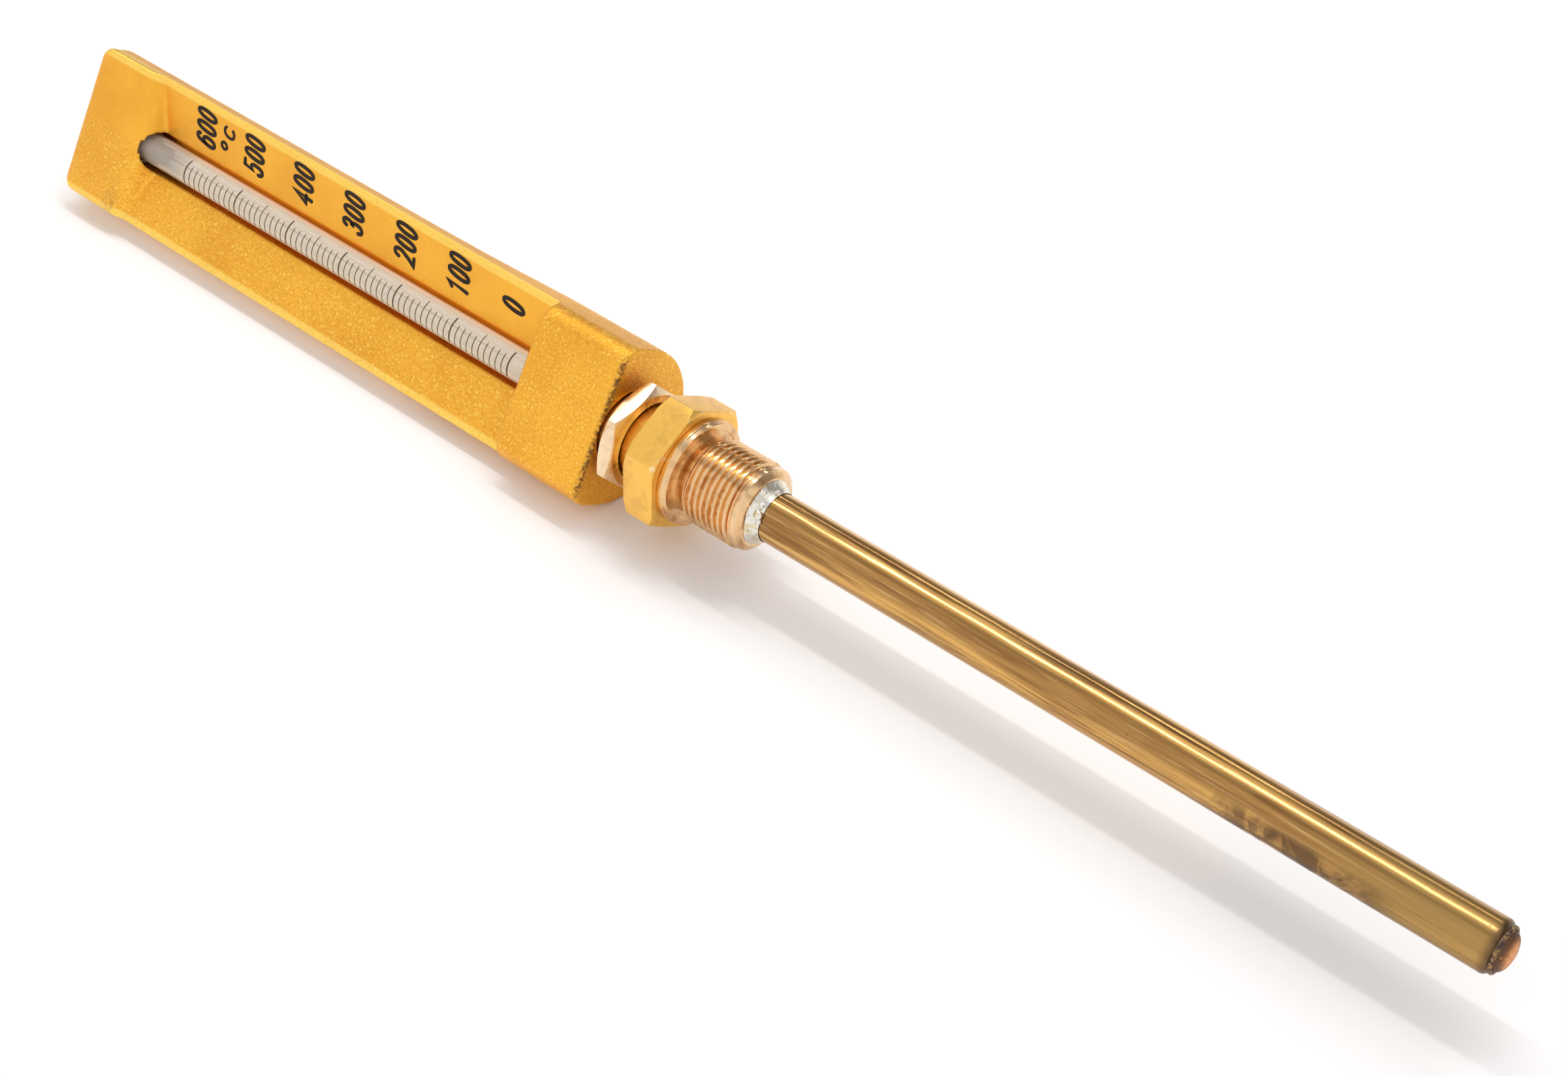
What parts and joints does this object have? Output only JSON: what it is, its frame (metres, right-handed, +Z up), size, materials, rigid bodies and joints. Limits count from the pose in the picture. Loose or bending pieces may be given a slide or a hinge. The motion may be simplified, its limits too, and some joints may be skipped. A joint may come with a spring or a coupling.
{
  "type": "oven thermometer",
  "caption": "Industrial oven thermometer: angled cast casing with a glass scale rod, hex connector with process thread, and a long closed immersion tube.",
  "frame": {"origin": "on the common axis, in the plane of the sealing face under the connector's collar", "axes": "+X along the axis towards the tip of the immersion tube; +Z up as the thermometer lies on a table, with the front of the casing facing -Y and 30 degrees up"},
  "size_m": [0.3304, 0.0287, 0.0314],
  "materials": {
    "gold_casing": "satin gold anodised casting, fine grain",
    "milk_glass": "polished, milky",
    "white_enamel": "gloss white",
    "clear_glass": "polished",
    "mercury": "liquid mirror",
    "fibre": "matt packing cord",
    "copper_filings": "packed metal filings",
    "brass": "turned, polished",
    "tube_brass": "drawn, heat stained near the tip",
    "copper": "brazed, satin",
    "braze": "dark braze",
    "solder": "bright solder"
  },
  "bodies": {
    "connector_and_tube": {"connector": "brass", "immersion_tube": "tube_brass", "tip_plug": "copper", "tip_braze": "braze", "solder_fillet": "solder", "stem_spacer": "fibre", "heat_fill": "copper_filings", "bulb_cushion": "fibre", "packing_ring_1": "fibre", "packing_ring_2": "fibre", "packing_ring_3": "fibre", "rod_seat": "fibre", "neck_seal": "fibre"},
    "casing_and_glass": {"casing": "gold_casing", "glass_rod": "milk_glass", "enamel_backing": "white_enamel", "glass_stem": "clear_glass", "glass_bulb": "clear_glass", "mercury_pool": "mercury", "top_cushion": "fibre", "top_ring": "fibre", "boss_ring": "fibre"},
    "nut": {"lock_nut": "brass"},
    "mercury_thread": {"mercury_column": "mercury"}
  },
  "joints": [
    {"name": "casing_swivel", "type": "hinge", "parent": "connector_and_tube", "child": "casing_and_glass", "pos_m": [-0.0188, 0, 0], "axis": [1, 0, 0], "range_deg": [-180, 180]},
    {"name": "lock_nut_turn", "type": "hinge", "parent": "connector_and_tube", "child": "nut", "pos_m": [-0.01515, 0, 0], "axis": [1, 0, 0], "range_deg": [-360, 360]},
    {"name": "mercury_rise", "type": "slide", "parent": "casing_and_glass", "child": "mercury_thread", "axis": [-1, 0, 0], "range_m": [-0.00309, 0.0896]}
  ]
}
